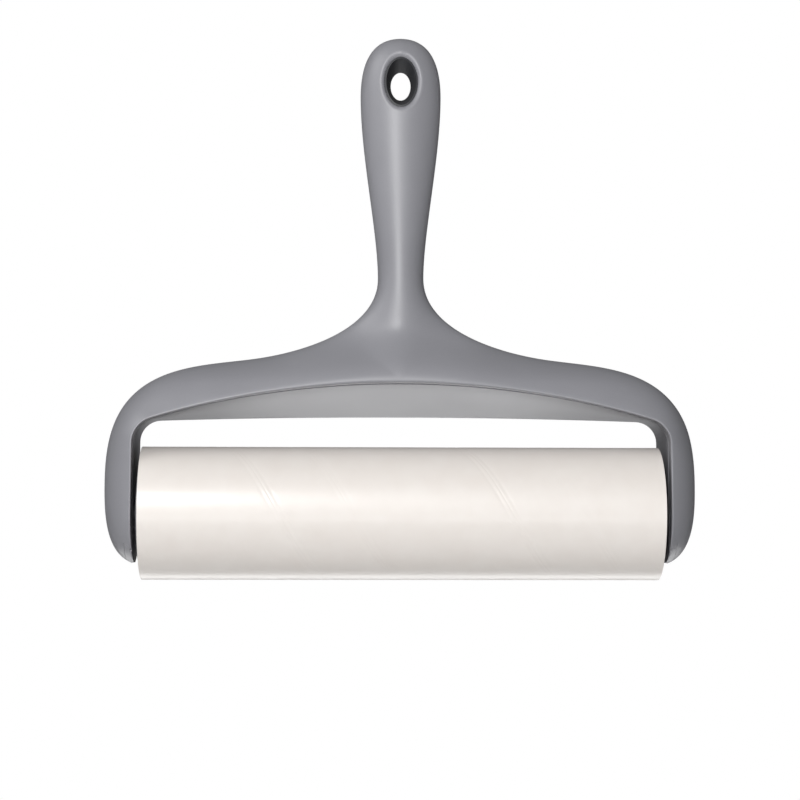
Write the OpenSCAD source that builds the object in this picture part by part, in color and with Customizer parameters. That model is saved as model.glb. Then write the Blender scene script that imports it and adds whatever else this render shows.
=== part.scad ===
// Lint roller with a wide U-shaped frame, hung by the hole in its handle.
// +X runs along the roller, -Y is the front, +Z points up the handle.
// The origin is the middle of the hanging hole.

/* [Roller refill] */
// Length of the adhesive roll
roll_l = 203.2; // [150:0.1:260]
// Outside diameter of a full roll
roll_d = 52.3; // [50:0.1:56]
// Thickness of the top sheet
sheet_t = 0.15; // [0.1:0.05:0.3]
// Inside diameter of the cardboard core
core_id = 38.1; // [36:0.1:39.5]
// Wall of the cardboard core
core_wall = 1.6; // [1:0.1:2.5]

/* [Frame] */
// Gap between each end of the roll and its arm
side_gap = 2.9; // [2.4:0.1:4]
// Thickness of an arm, inside to outside, at its thickest
arm_w = 12; // [11:0.1:16]
// Depth of the frame at its lip, front to back
frame_depth = 40; // [36:0.5:50]
// How far an arm reaches below the roller's axis
arm_drop = 19.9; // [17:0.1:24]
// Finger gap between the roll and the back edge of the bridge
finger_gap = 13.8; // [11:0.1:24]
// Height of the front arch's middle above the bridge's back edge
arch_rise = 10; // [6:0.5:13]
// Radius of the front arch
arch_r = 336; // [300:1:500]
// Radius of the frame's inside corners, front edge
corner_r = 10; // [6:0.5:14]
// Thickness of the bridge above the front arch, at its middle
bridge_h = 11.4; // [10:0.1:18]
// Sweep of the skin's arc beside the window. A quarter turn would lie flat at the lip
lip_sweep = 62; // [55:1:90]
// Wall of the moulded shells
wall = 2.2; // [1.6:0.1:2.6]
// Length of the front shell's lip on the arms' inside faces
arm_lip = 7; // [5:0.5:9]
// Thickness of the front shell's lip on the bridge
bridge_lip = 1.8; // [1.4:0.1:3]
// Gap at the seam between the two shells
seam = 0.1; // [0.05:0.05:0.3]

/* [Handle] */
// Height of the handle's end above the roller's axis
handle_top = 192; // [165:1:240]
// Widest place of the grip
grip_w = 32.3; // [28:0.1:38]
// Thickness of the grip
grip_t = 21; // [18:0.5:26]
// Distance from the handle's end down to the widest place
grip_below_top = 24; // [22:1:30]
// Width of the neck
neck_w = 18.2; // [16:0.1:22]
// Thickness of the neck
neck_t = 18; // [15:0.5:22]
// Height of the neck above the front arch
neck_above_arch = 43.7; // [38:0.1:50]

/* [Hanging hole] */
// Width of the oval hole at its narrowest
hang_w = 8; // [6:0.1:9]
// Height of the oval hole at its narrowest
hang_h = 11.4; // [9:0.1:13]
// Width of the oval hole at the handle's faces
hang_mouth_w = 14.6; // [12:0.1:16]
// Height of the oval hole at the handle's faces
hang_mouth_h = 22.4; // [18:0.1:24]
// Distance from the handle's end down to the hole's middle
hang_below_top = 19.6; // [18:0.1:22]
// Wall of the dark liner in the hole
liner_wall = 0.8; // [0.6:0.1:1]
// How far the liner's ends lie below the handle's faces
liner_sunk = 1.3; // [1:0.1:1.8]
// Gap between the liner and the shells
liner_gap = 0.05; // [0.03:0.01:0.1]

/* [Pins, bushes and spring] */
// Diameter of both roller pins
pin_d = 8; // [6:0.1:9]
// Radial clearance of a pin in its bush and of the plunger in its hub
pin_clear = 0.05; // [0.03:0.01:0.1]
// Depth of a bush's socket
socket_depth = 3; // [2.6:0.1:4]
// How far the fixed pin reaches into the left bush
fixed_reach = 1.8; // [1.4:0.1:2.2]
// How far the sprung pin reaches into the right bush
sprung_reach = 2.5; // [2:0.1:2.8]
// Travel of the sprung pin
pin_travel = 3; // [2.6:0.1:4]
// Wall of a bush
bush_wall = 1.5; // [1.2:0.1:2]
// Length of a hub inside the core
hub_l = 16; // [12:0.5:24]
// Thickness of a hub's flange
flange_t = 0.9; // [0.7:0.1:1]
// Wall of a hub's sleeve and tube
hub_wall = 1.8; // [1.4:0.1:2.4]
// Wire of the spring
spring_wire = 0.7; // [0.5:0.1:0.9]
// Turns of the spring
spring_turns = 6; // [4:1:7]

/* [Screws] */
// Thread diameter of the shell screws
screw_d = 2.9; // [2.2:0.1:3.5]
// Head diameter of the shell screws
screw_head_d = 5.6; // [4.5:0.1:6]
// Head height of the shell screws
screw_head_h = 2; // [1.5:0.1:2.4]

/* [Hidden] */
$fn = 48;

roll_r = roll_d / 2;
core_od = core_id + 2 * core_wall;
inside_x = roll_l / 2 + side_gap;
outside_x = inside_x + arm_w;
frame_w = 2 * outside_x;
lip_y = frame_depth / 2;
back_z = roll_r + finger_gap;
arch_z = back_z + arch_rise;
back_arch_r = 10 * arch_r;
back_corner_r = corner_r - 1.5;
bridge_z = arch_z + bridge_h;
neck_z = arch_z + neck_above_arch;
grip_z = handle_top - grip_below_top;
hang_z = handle_top - hang_below_top;
root_z = (neck_z + arch_z) / 2 + 3;
waist_z = 0.6 * roll_r - 4;

bush_r = pin_d / 2 + pin_clear + bush_wall;
bush_end = inside_x + socket_depth + 1.2;
core_end = roll_l / 2;
sleeve_r = core_id / 2 - 0.1;
chamber_r = pin_d / 2 + 1.6;
tube_r = chamber_r + hub_wall;
// Inside the right hub: the sprung pin's shoulder stops at shoulder_x, and the plug ends at chamber_x.
shoulder_x = core_end - 3;
shoulder_t = 3;
spring_r = 2;
spring_seat_x = shoulder_x + 1.5;
chamber_x = shoulder_x - 14;
plug_l = 5;

// ---- the frame's outline, as six cubic curves from the handle's end to the arm's foot ----
// Each reach is how far a curve's inner control point lies from its end, along its tangent.
grip_reach = 24.2;
neck_reach_up = 19.1;
neck_reach_down = 19.5;
waist_reach_up = 14.2;
waist_reach_down = 11.7;
foot_rise = 3.4;
foot_taper = 0.5;
top_curve = [[0, handle_top], [0.39 * grip_w, handle_top],
             [grip_w / 2, grip_z + 0.52 * grip_below_top], [grip_w / 2, grip_z]];
grip_curve = [[grip_w / 2, grip_z], [grip_w / 2, grip_z - grip_reach],
              [neck_w / 2, neck_z + neck_reach_up], [neck_w / 2, neck_z]];
// The shoulder ends, and the arm's corner begins, at these two points, with these tangents.
shoulder = [outside_x / 2 - 1, bridge_z];
shoulder_in = [-20.6, 3.1];
shoulder_out = [15, -2.2];
corner = [outside_x - 14.8, bridge_z - 11.2];
corner_in = [-12.4, 8.9];
corner_out = [12.8, -9.2];
shoulder_curve = [[neck_w / 2, neck_z], [neck_w / 2, neck_z - neck_reach_down], shoulder + shoulder_in, shoulder];
bridge_curve = [shoulder, shoulder + shoulder_out, corner + corner_in, corner];
corner_curve = [corner, corner + corner_out, [outside_x, waist_z + waist_reach_up], [outside_x, waist_z]];
foot_curve = [[outside_x, waist_z], [outside_x, waist_z - waist_reach_down],
              [outside_x - foot_taper, foot_rise - arm_drop], [inside_x, -arm_drop]];
outline = [top_curve, grip_curve, shoulder_curve, bridge_curve, corner_curve, foot_curve];
steps = [5, 6, 12, 6, 10, 7];
// The sweep stops just before the foot's tip. Its cavity and what is in it stop a little sooner.
foot_end = 5.96;
cavity_end = foot_end - 0.24;
inner_end = foot_end - 0.12;

function mix(a, b, t) = a + (b - a) * t;
function clamped(t) = max(0, min(1, t));
function ease(t) = let (c = clamped(t)) c * c * (3 - 2 * c);
function bezier(c, t) = pow(1 - t, 3) * c[0] + 3 * pow(1 - t, 2) * t * c[1]
                      + 3 * (1 - t) * t * t * c[2] + pow(t, 3) * c[3];
function slope(c, t) = 3 * pow(1 - t, 2) * (c[1] - c[0]) + 6 * (1 - t) * t * (c[2] - c[1])
                     + 3 * t * t * (c[3] - c[2]);
function inward(c, t) = let (s = slope(c, t)) [s[1], -s[0]] / norm(s);

// A point of the outline, moved inward by inset. The whole number of u picks the curve.
function rim(u, inset) = let (i = min(floor(u), 5), t = u - i)
    bezier(outline[i], t) + inset * inward(outline[i], t);

// The window's edge: q from 0 to 1 runs along an arch of radius r, 1 to 2 round the corner,
// and 2 to 3 down the arm. It is moved away from the window by inset.
function window_edge(q, top, r, fillet, inset) =
    let (cx = inside_x - fillet,
         drop = sqrt(pow(r - fillet, 2) - cx * cx),
         cz = top - r + drop,
         lean = atan2(cx, drop))
    q < 1 ? [0, top - r] + (r + inset) * [sin(q * lean), cos(q * lean)]
    : q < 2 ? let (a = mix(lean, 90, q - 1)) [cx, cz] + (fillet + inset) * [sin(a), cos(a)]
    : [inside_x + inset, mix(cz, -arm_drop, q - 2)];

// Down the handle the crest is the middle line, and from there on it is the window's edge.
root_share = 0.5;
waist_q = 2.3;
function crest_q(u) = u < 3 ? 0.42 * (u - 2 - root_share) / (1 - root_share)
                    : u < 4 ? mix(0.42, 0.92, u - 3)
                    : u < 5 ? mix(0.92, waist_q, u - 4) : mix(waist_q, 3, u - 5);
function crest(u, top, r, fillet, inset) =
    u < 1 ? [0, mix(grip_z, rim(u, 0)[1], 0.35)]
    : u < 2 ? [0, rim(u, 0)[1]]
    : u < 2 + root_share ? [0, mix(neck_z, top + inset, (u - 2) / root_share)]
    : window_edge(crest_q(u), top, r, fillet, inset);

// Half the frame's greatest thickness at height z: the handle's, swelling to the lip's below
// the root, and drawn in round the foot. It is moved inward by inset.
function half_depth(z, inset) =
    mix(z > neck_z ? mix(grip_t, neck_t, ease((grip_z - z) / (grip_z - neck_z))) / 2 : neck_t / 2,
        lip_y, ease((root_z - z) / (root_z - arch_z)))
    * sqrt(max(0.04, 1 - pow(min(0, z) / (arm_drop - inset), 2))) - inset;

// The arc's sweep is a quarter turn down the handle, and eases to lip_sweep along the bridge.
function sweep(u) = mix(90, lip_sweep, ease((u - 2 - root_share) / 0.8));

// One section through the frame: an elliptical arc from the rim to the front crest, straight
// through to the rear crest, and an arc back to the rim.
function section(u, inset, window_inset, arc) =
    let (o = rim(u, inset),
         full = sweep(u),
         f = crest(u, arch_z, arch_r, corner_r, window_inset),
         b = crest(u, back_z, back_arch_r, back_corner_r, window_inset))
    concat([for (k = [0 : arc]) arc_point(o, f, -1, full * k / arc, full, inset)],
           [for (k = [arc : -1 : 1]) arc_point(o, b, 1, full * k / arc, full, inset)]);
function arc_point(o, at, side, a, full, inset) =
    let (p = mix(o, at, (1 - cos(a)) / (1 - cos(full))))
    [p[0], side * half_depth(p[1], inset) * sin(a) / sin(full), p[1]];

module frame_half(inset, window_inset, arc, last) {
    stations = concat([for (i = [0 : 5], k = [0 : steps[i] - 1]) if (i + k / steps[i] < last) i + k / steps[i]],
                      [last]);
    ring = 2 * arc + 1;
    rings = len(stations);
    skin = [for (i = [0 : rings - 2], j = [0 : ring - 1])
            let (a = i * ring + j, b = i * ring + (j + 1) % ring, c = a + ring, d = b + ring)
            each [[a, c, b], [b, c, d]]];
    polyhedron(points = [for (u = stations) each section(u, inset, window_inset, arc)],
               faces = concat(skin, [[for (j = [0 : ring - 1]) j]],
                              [[for (j = [ring - 1 : -1 : 0]) (rings - 1) * ring + j]]));
}

// The frame as one solid block, both halves.
module frame_block(inset = 0, window_inset = 0, arc = 6, last = foot_end) {
    frame_half(inset, window_inset, arc, last);
    mirror([1, 0, 0]) frame_half(inset, window_inset, arc, last);
}

// The shells' hole, from its mouth at either face to its narrowest place in the middle. The
// liner stands inside it.
module hang_taper(grow = 0, reach = 0) {
    waist = [hang_w, hang_h] / 2 + [1, 1] * (liner_wall + grow);
    mouth = [hang_mouth_w, hang_mouth_h] / 2 + [1, 1] * grow;
    for (side = [-1, 1])
        hull() {
            oval_plate(waist, 0, side);
            oval_plate(mix(waist, mouth, 1 + 2 * reach / grip_t), grip_t / 2 + reach, side);
        }
}

module oval_plate(half_size, y, side) {
    translate([0, side * y, hang_z]) rotate([90, 0, 0])
        linear_extrude(0.02, center = true) scale(half_size) circle(1, $fn = 32);
}

// Room for what lies behind the seam: close behind the lip on the bridge, deeper on the arms.
module behind_seam(gap) {
    bridge_y = bridge_lip - lip_y - gap;
    arm_y = arm_lip - lip_y - gap;
    step_x = roll_l / 2 - 2 * corner_r;
    translate([0, 0, -arm_drop - 5]) linear_extrude(bridge_z + arm_drop + 10)
        polygon([[-step_x, bridge_y], [step_x, bridge_y], [inside_x - 1, arm_y], [outside_x + 5, arm_y],
                 [outside_x + 5, lip_y + 5], [-outside_x - 5, lip_y + 5], [-outside_x - 5, arm_y],
                 [1 - inside_x, arm_y]]);
}

// The strip of the frame next to the window, which the rear shell closes.
module window_strip(thick, gap) {
    intersection() {
        difference() {
            frame_block(inset = -1, window_inset = -1);
            frame_block(inset = -2, window_inset = thick, last = 6);
        }
        behind_seam(gap);
    }
}

module half_space(side, y) {
    size = 3 * handle_top;
    translate([-size / 2, side > 0 ? y : y - size, -size / 2]) cube(size);
}

// Screw places as [x, z]: two in the handle, two in the bridge and one in each arm.
handle_screws = [[0, mix(neck_z, grip_z, 0.12)], [0, mix(neck_z, grip_z, 0.72)]];
bridge_screw = [0.52 * inside_x, mix(arch_z, bridge_z, 0.42)];
arm_screw = [inside_x + arm_w / 2, roll_r - 4];
screw_spots = [handle_screws[0], handle_screws[1], bridge_screw, [-bridge_screw[0], bridge_screw[1]],
               arm_screw, [-arm_screw[0], arm_screw[1]]];
// How far a tool body stands past the surface that it cuts.
past = 3;
// The wall that the shells keep round the hole.
hole_wall = 0.8 * wall;
boss_r = screw_d / 2 + 1.5;
tower_r = screw_head_d / 2 + 1.4;
pilot_r = 0.42 * screw_d;
// The head sits this far behind the middle plane, and the thread ends this far in front of it.
head_seat_y = 4;
thread_y = -6;

module along_y(x, z, from, to, r) {
    translate([x, to, z]) rotate([90, 0, 0]) cylinder(r = r, h = to - from);
}

rib_t = 1.4;
rib_spacing = 26;
// Stiffening ribs across the handle and the bridge, which stop short of the middle plane.
module ribs(side) {
    rib_depth = lip_y;
    from = side > 0 ? 5 : -5 - rib_depth;
    for (z = [neck_z + rib_spacing / 2 : rib_spacing : hang_z - rib_spacing])
        translate([-grip_w / 2, from, z]) cube([grip_w, rib_depth, rib_t]);
    for (x = [rib_spacing / 2 : rib_spacing : corner[0] - 10], m = [-1, 1])
        translate([m * x - rib_t / 2, from, arch_z - 12]) cube([rib_t, rib_depth, bridge_h + 30]);
}

// The shells before they are parted: a hollow skin with the hole's wall across it.
module skin() {
    difference() {
        frame_block();
        frame_block(inset = wall, window_inset = wall, arc = 5, last = cavity_end);
    }
    intersection() {
        frame_block(inset = wall / 2, arc = 4);
        hang_taper(hole_wall);
    }
}

// Bosses and ribs, trimmed to end inside the skin.
module trimmed() {
    intersection() {
        frame_block(inset = wall / 2, window_inset = wall / 2, arc = 4, last = inner_end);
        union() children();
    }
}

module front_mesh() {
    difference() {
        union() {
            skin();
            trimmed() {
                ribs(-1);
                for (s = screw_spots) along_y(s[0], s[1], -lip_y, 0, boss_r);
            }
        }
        half_space(1, -seam / 2);
        window_strip(wall + 0.8, seam);
        hang_taper(0, past);
    }
}

module rear_mesh() {
    difference() {
        union() {
            intersection() {
                skin();
                union() {
                    half_space(1, seam / 2);
                    window_strip(wall + 0.7, 0);
                }
            }
            trimmed() {
                ribs(1);
                for (s = screw_spots) along_y(s[0], s[1], seam / 2, lip_y, tower_r);
            }
        }
        hang_taper(0, past);
    }
}

// Everything is drawn about the roller's axis, and then moved so that the hole is at the origin.
module at_hook() {
    translate([0, 0, -hang_z]) children();
}

module along_x(from, to, r) {
    translate([from, 0, 0]) rotate([0, 90, 0]) cylinder(r = r, h = to - from);
}

// The meshes are brought to the frame's overall width before the exact bores are cut.
module front_shell() {
    color("#85868a") at_hook() difference() {
        resize([frame_w, 0, 0]) front_mesh();
        for (s = screw_spots) along_y(s[0], s[1], thread_y - 1, 1, pilot_r);
    }
}

module rear_shell() {
    color("#85868a") at_hook() difference() {
        union() {
            resize([frame_w, 0, 0]) rear_mesh();
            for (m = [0, 1])
                mirror([m, 0, 0]) along_x(inside_x + wall / 2, bush_end + 1, bush_r + 1.6);
        }
        for (m = [0, 1])
            mirror([m, 0, 0]) along_x(inside_x - 1, bush_end, bush_r);
        for (s = screw_spots) {
            along_y(s[0], s[1], 0, lip_y + 1, screw_d / 2 + 0.2);
            along_y(s[0], s[1], head_seat_y, lip_y + 1, screw_head_d / 2 + 0.3);
        }
    }
}

// A dark liner in the hanging hole. Its ends lie below the handle's faces, inside the rounded rim.
module hole_liner() {
    color("#333438") at_hook() difference() {
        intersection() {
            frame_block(inset = liner_sunk);
            hang_taper(-liner_gap);
        }
        hang_taper(-liner_wall);
    }
}

// Self-tapping screws with round heads, put in from the back.
slot_w = 0.7;
slot_l = 0.6 * screw_head_d;
tip_l = 1.5;
tip_r = 0.3;
module shell_screws() {
    head_top = head_seat_y + screw_head_h;
    color("#b8b9bb") at_hook() for (s = screw_spots)
        translate([s[0], 0, s[1]]) difference() {
            rotate([-90, 0, 0]) rotate_extrude() polygon([
                [0, thread_y], [tip_r, thread_y], [pilot_r, thread_y + tip_l], [pilot_r, head_seat_y],
                [screw_head_d / 2, head_seat_y], [screw_head_d / 2, head_top - screw_head_h / 2],
                [slot_l / 2, head_top], [0, head_top]]);
            for (a = [0, 90])
                rotate([0, a, 0]) translate([-slot_l / 2, head_top - 0.6 * screw_head_h, -slot_w / 2])
                    cube([slot_l, screw_head_h, slot_w]);
        }
}

// A blind cup of slippery plastic, flush with the arm's inside face. It is drawn for the right arm.
module bush() {
    difference() {
        along_x(inside_x, bush_end, bush_r);
        along_x(inside_x - 1, inside_x + socket_depth, pin_d / 2 + pin_clear);
    }
}

module left_bush() {
    color("#d9d6cc") at_hook() mirror([1, 0, 0]) bush();
}

module right_bush() {
    color("#d9d6cc") at_hook() bush();
}

// A hub's flange and grooved sleeve, drawn for the right end of the roll.
module hub_body() {
    difference() {
        union() {
            along_x(core_end, core_end + flange_t, core_od / 2 - 0.3);
            along_x(core_end - hub_l, core_end + 0.1, sleeve_r);
            for (a = [0 : 45 : 315])
                rotate([a, 0, 0]) translate([core_end - hub_l + 2, sleeve_r - 0.3, -0.6])
                    cube([hub_l - 3, 0.45, 1.2]);
        }
        along_x(core_end - hub_l - 1, core_end - hub_wall, sleeve_r - hub_wall);
    }
    for (a = [0 : 60 : 300])
        rotate([a, 0, 0]) translate([core_end - hub_l + 3, tube_r - 0.5, -hub_wall / 2])
            cube([hub_l - 3.5, sleeve_r - hub_wall - tube_r + 1, hub_wall]);
}

// The left hub has a plain tube that the fixed pin is pressed into, and a collar against the bush.
module left_hub() {
    color("#5e5f63") at_hook() mirror([1, 0, 0]) difference() {
        union() {
            hub_body();
            along_x(core_end - hub_l, core_end + 0.1, tube_r);
            along_x(core_end, inside_x - 0.05, pin_d / 2 + 2);
        }
        along_x(core_end - hub_l + hub_wall, inside_x + 1, pin_d / 2);
    }
}

module fixed_pin() {
    color("#c9cacc") at_hook() mirror([1, 0, 0]) translate([inside_x, 0, 0]) rotate([0, 90, 0])
        rotate_extrude() polygon(round_ended(core_end - hub_l + hub_wall - inside_x, fixed_reach));
}

// Outline of a pin from z = low to z = high, with a chamfer at each end.
function round_ended(low, high) =
    [[0, low], [pin_d / 2 - 0.6, low], [pin_d / 2, low + 0.6],
     [pin_d / 2, high - 1.1], [pin_d / 2 - 0.35, high - 0.45], [pin_d / 2 - 1.1, high], [0, high]];

// The right hub's tube holds the sprung pin's shoulder, its spring and the plug behind them.
module right_hub() {
    color("#5e5f63") at_hook() difference() {
        union() {
            hub_body();
            along_x(chamber_x - plug_l, core_end + 0.1, tube_r);
        }
        along_x(core_end - 4, core_end + 1.5, pin_d / 2 + pin_clear);
        along_x(chamber_x - plug_l - 1, shoulder_x, chamber_r);
    }
}

module sprung_pin() {
    color("#c9cacc") at_hook() difference() {
        union() {
            translate([inside_x, 0, 0]) rotate([0, 90, 0])
                rotate_extrude() polygon(round_ended(shoulder_x - 1 - inside_x, sprung_reach));
            along_x(shoulder_x - shoulder_t, shoulder_x, chamber_r - pin_clear);
        }
        along_x(shoulder_x - shoulder_t - 1, spring_seat_x, spring_r + spring_wire);
    }
}

// The spring: a round wire on a helix, whose ends lie flat for half a turn.
module hub_spring() {
    low = chamber_x + spring_wire / 2 + 0.05;
    high = spring_seat_x - spring_wire / 2 - 0.05;
    per_turn = 14;
    sides = 8;
    count = per_turn * spring_turns;
    function climb(t) = max(0, min(1, (t * spring_turns - 0.75) / (spring_turns - 1.5)));
    function at(k) = let (t = k / count, a = 360 * spring_turns * t, x = mix(low, high, climb(t)))
        [for (j = [0 : sides - 1]) let (b = 360 * j / sides, r = spring_r + spring_wire / 2 * cos(b))
            [x + spring_wire / 2 * sin(b), r * cos(a), r * sin(a)]];
    color("#a9abae") at_hook() polyhedron(
        points = [for (k = [0 : count]) each at(k)],
        faces = concat(
            [for (k = [0 : count - 1], j = [0 : sides - 1])
                let (a = k * sides + j, b = k * sides + (j + 1) % sides)
                each [[a, b, a + sides], [b, b + sides, a + sides]]],
            [[for (j = [sides - 1 : -1 : 0]) j]],
            [[for (j = [0 : sides - 1]) count * sides + j]]));
}

module spring_plug() {
    color("#5e5f63") at_hook() difference() {
        along_x(chamber_x - plug_l, chamber_x, chamber_r);
        along_x(chamber_x - plug_l - 1, chamber_x - 1.5, chamber_r - 1.5);
    }
}

module sleeve(length, outer_r, inner_r) {
    difference() {
        along_x(-length / 2, length / 2, outer_r);
        along_x(-length / 2 - 1, length / 2 + 1, inner_r);
    }
}

module core_tube() {
    color("#b79a72") at_hook() sleeve(roll_l, core_od / 2, core_id / 2);
}

module adhesive_roll() {
    color("#e6e2dc") at_hook() sleeve(roll_l, roll_r - sheet_t, core_od / 2);
}

module top_sheet() {
    color("#efece7") at_hook() sleeve(roll_l, roll_r, roll_r - sheet_t);
}

front_shell();
rear_shell();
hole_liner();
shell_screws();
left_bush();
right_bush();
left_hub();
right_hub();
fixed_pin();
sprung_pin();
hub_spring();
spring_plug();
core_tube();
adhesive_roll();
top_sheet();
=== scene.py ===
# %% [markdown]
# # A wide lint roller, from its imported frame to a studio picture
#
# The roller is a moulded grey handle with a U-shaped fork, and a roll of sticky film that
# turns between the fork's arms. The exact parts (pins, bushes, hubs, screws) come from the
# imported frame and keep their shape. This lesson models what the eye lingers on: the two
# moulded shells, the liner of the hanging hole, whose charcoal colour is painted shade for the
# hole's dark inside, and the roll.

# %% Load the frame and keep its box
import math
import bpy
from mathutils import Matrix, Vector


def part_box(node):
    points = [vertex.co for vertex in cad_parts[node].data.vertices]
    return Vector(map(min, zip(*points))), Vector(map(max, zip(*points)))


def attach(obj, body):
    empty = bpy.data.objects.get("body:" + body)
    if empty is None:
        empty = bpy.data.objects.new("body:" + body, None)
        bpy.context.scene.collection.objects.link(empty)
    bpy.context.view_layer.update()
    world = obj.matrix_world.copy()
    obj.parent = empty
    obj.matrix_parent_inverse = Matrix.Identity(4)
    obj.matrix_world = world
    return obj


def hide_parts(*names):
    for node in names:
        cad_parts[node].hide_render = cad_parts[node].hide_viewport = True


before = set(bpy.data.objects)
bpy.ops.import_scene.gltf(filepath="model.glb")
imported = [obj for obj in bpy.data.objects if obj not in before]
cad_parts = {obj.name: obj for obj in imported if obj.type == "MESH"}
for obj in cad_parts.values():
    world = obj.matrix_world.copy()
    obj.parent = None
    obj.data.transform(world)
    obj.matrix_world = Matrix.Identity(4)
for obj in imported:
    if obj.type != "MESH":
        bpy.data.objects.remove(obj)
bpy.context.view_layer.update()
print("nodes:", sorted(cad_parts))

# %% [markdown]
# ## Small helpers
#
# An operator works on whatever is selected, so every step first selects one object and
# nothing else. Sizes are thought of in millimetres, as on a drawing, with the roller's axis
# at height zero, and one function turns them into metres in the frame's own place.

# %% Helpers for selecting, naming and placing
MM = 0.001
MERGE = 2e-3 * MM
AXIS_Z = (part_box("top_sheet")[0][2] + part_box("top_sheet")[1][2]) / 2


def only(obj):
    """Leave this object selected and active, and nothing else."""
    if bpy.context.object and bpy.context.object.mode != "OBJECT":
        bpy.ops.object.mode_set(mode="OBJECT")
    bpy.ops.object.select_all(action="DESELECT")
    obj.select_set(True)
    bpy.context.view_layer.objects.active = obj


def named(name):
    """Name the primitive that was just added, and its mesh."""
    obj = bpy.context.object
    obj.name = obj.data.name = name
    return obj


def metres(x, y, z):
    """A place in millimetres from the roller's middle, as a place in the frame."""
    return Vector((x * MM, y * MM, z * MM + AXIS_Z))


def pick(obj, kind, test):
    """Go into edit mode with only the faces, edges or points that pass the test selected."""
    only(obj)
    bpy.ops.object.mode_set(mode="EDIT")
    bpy.ops.mesh.select_mode(type=kind)
    bpy.ops.mesh.select_all(action="DESELECT")
    bpy.ops.object.mode_set(mode="OBJECT")
    parts = {"FACE": obj.data.polygons, "EDGE": obj.data.edges, "VERT": obj.data.vertices}[kind]
    for part in parts:
        part.select = test(part)
    bpy.ops.object.mode_set(mode="EDIT")


def finish_edit():
    bpy.ops.object.mode_set(mode="OBJECT")


def use_modifier(obj, kind, **settings):
    """Add a modifier, set it and apply it."""
    only(obj)
    bpy.ops.object.modifier_add(type=kind)
    modifier = obj.modifiers[-1]
    for key, value in settings.items():
        setattr(modifier, key, value)
    bpy.ops.object.modifier_apply(modifier=modifier.name)


def combine(obj, tool, how, keep_tool=False):
    """Cut, join or keep what is shared with a tool body."""
    use_modifier(obj, "BOOLEAN", operation=how, solver="MANIFOLD", object=tool)
    if not keep_tool:
        bpy.data.objects.remove(tool)
    return obj


def duplicate(obj, name):
    only(obj)
    bpy.ops.object.duplicate()
    return named(name)


# %% [markdown]
# ## The frame's outline
#
# Seen from the front, the shell's edge is one flowing line: round the handle's end, in at the
# neck, out over the bridge and down the arm to its foot. A designer draws it as a chain of
# Bezier curves, and so do we. It is measured along its length, so that what follows it keeps
# an even pace and the skin gets no creases.

# %% Sizes of the frame, in millimetres from the roller's axis
roll_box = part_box("top_sheet")
shell_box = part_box("rear_shell")
ROLL_L = (roll_box[1][0] - roll_box[0][0]) / MM
ROLL_R = (roll_box[1][2] - roll_box[0][2]) / 2 / MM
OUTSIDE_X = shell_box[1][0] / MM
LIP_Y = shell_box[1][1] / MM
HANDLE_TOP = (shell_box[1][2] - AXIS_Z) / MM
ARM_DROP = 19.9
ARM_W = 12
INSIDE_X = OUTSIDE_X - ARM_W
BACK_Z = ROLL_R + 13.8
ARCH_Z = BACK_Z + 10
ARCH_R = 336
BACK_ARCH_R = 10 * ARCH_R
CORNER_R = 10
BACK_CORNER_R = CORNER_R - 1.5
BRIDGE_Z = ARCH_Z + 11.4
NECK_Z = ARCH_Z + 43.7
GRIP_Z = HANDLE_TOP - 24
ROOT_Z = (NECK_Z + ARCH_Z) / 2 + 3
WAIST_Z = 0.6 * ROLL_R - 4
GRIP_W, GRIP_T = 32.3, 21
NECK_W, NECK_T = 18.2, 18
WALL = 2.2
SEAM = 0.1
print(f"roll {ROLL_L:.1f} x {2 * ROLL_R:.1f} mm, frame {2 * OUTSIDE_X:.1f} mm wide")

# %% The outline's six curves
shoulder = Vector((OUTSIDE_X / 2 - 1, BRIDGE_Z))
corner = Vector((OUTSIDE_X - 14.8, BRIDGE_Z - 11.2))
OUTLINE = [
    [(0, HANDLE_TOP), (0.39 * GRIP_W, HANDLE_TOP), (GRIP_W / 2, GRIP_Z + 12.5), (GRIP_W / 2, GRIP_Z)],
    [(GRIP_W / 2, GRIP_Z), (GRIP_W / 2, GRIP_Z - 24.2), (NECK_W / 2, NECK_Z + 19.1), (NECK_W / 2, NECK_Z)],
    [(NECK_W / 2, NECK_Z), (NECK_W / 2, NECK_Z - 19.5), shoulder + Vector((-20.6, 3.1)), shoulder],
    [shoulder, shoulder + Vector((15, -2.2)), corner + Vector((-12.4, 8.9)), corner],
    [corner, corner + Vector((12.8, -9.2)), (OUTSIDE_X, WAIST_Z + 14.2), (OUTSIDE_X, WAIST_Z)],
    [(OUTSIDE_X, WAIST_Z), (OUTSIDE_X, WAIST_Z - 11.7), (OUTSIDE_X - 0.5, 3.4 - ARM_DROP),
     (INSIDE_X, -ARM_DROP)],
]
OUTLINE = [[Vector(p) for p in curve] for curve in OUTLINE]


def mix(a, b, t):
    return a + (b - a) * t


def ease(t):
    t = max(0, min(1, t))
    return t * t * (3 - 2 * t)


def rim(u, inset=0):
    """A point of the outline, moved inward. The whole part of u picks the curve."""
    i = min(int(u), 5)
    t, (a, b, c, d) = u - i, OUTLINE[i]
    point = (1 - t) ** 3 * a + 3 * (1 - t) ** 2 * t * b + 3 * (1 - t) * t * t * c + t ** 3 * d
    along = (1 - t) ** 2 * (b - a) + 2 * (1 - t) * t * (c - b) + t * t * (d - c)
    return point + inset * Vector((along.y, -along.x)).normalized()


FOOT_END = 5.97
MARK_STEPS = 3000
MARKS = [FOOT_END * k / MARK_STEPS for k in range(MARK_STEPS + 1)]
LENGTHS = [0.0]
for k in range(MARK_STEPS):
    LENGTHS.append(LENGTHS[-1] + (rim(MARKS[k + 1]) - rim(MARKS[k])).length)


def length_at(u):
    place = u / FOOT_END * MARK_STEPS
    k = min(int(place), MARK_STEPS - 1)
    return mix(LENGTHS[k], LENGTHS[k + 1], place - k)


print(f"the outline runs {LENGTHS[-1]:.0f} mm from the handle's end to the foot")

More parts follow.
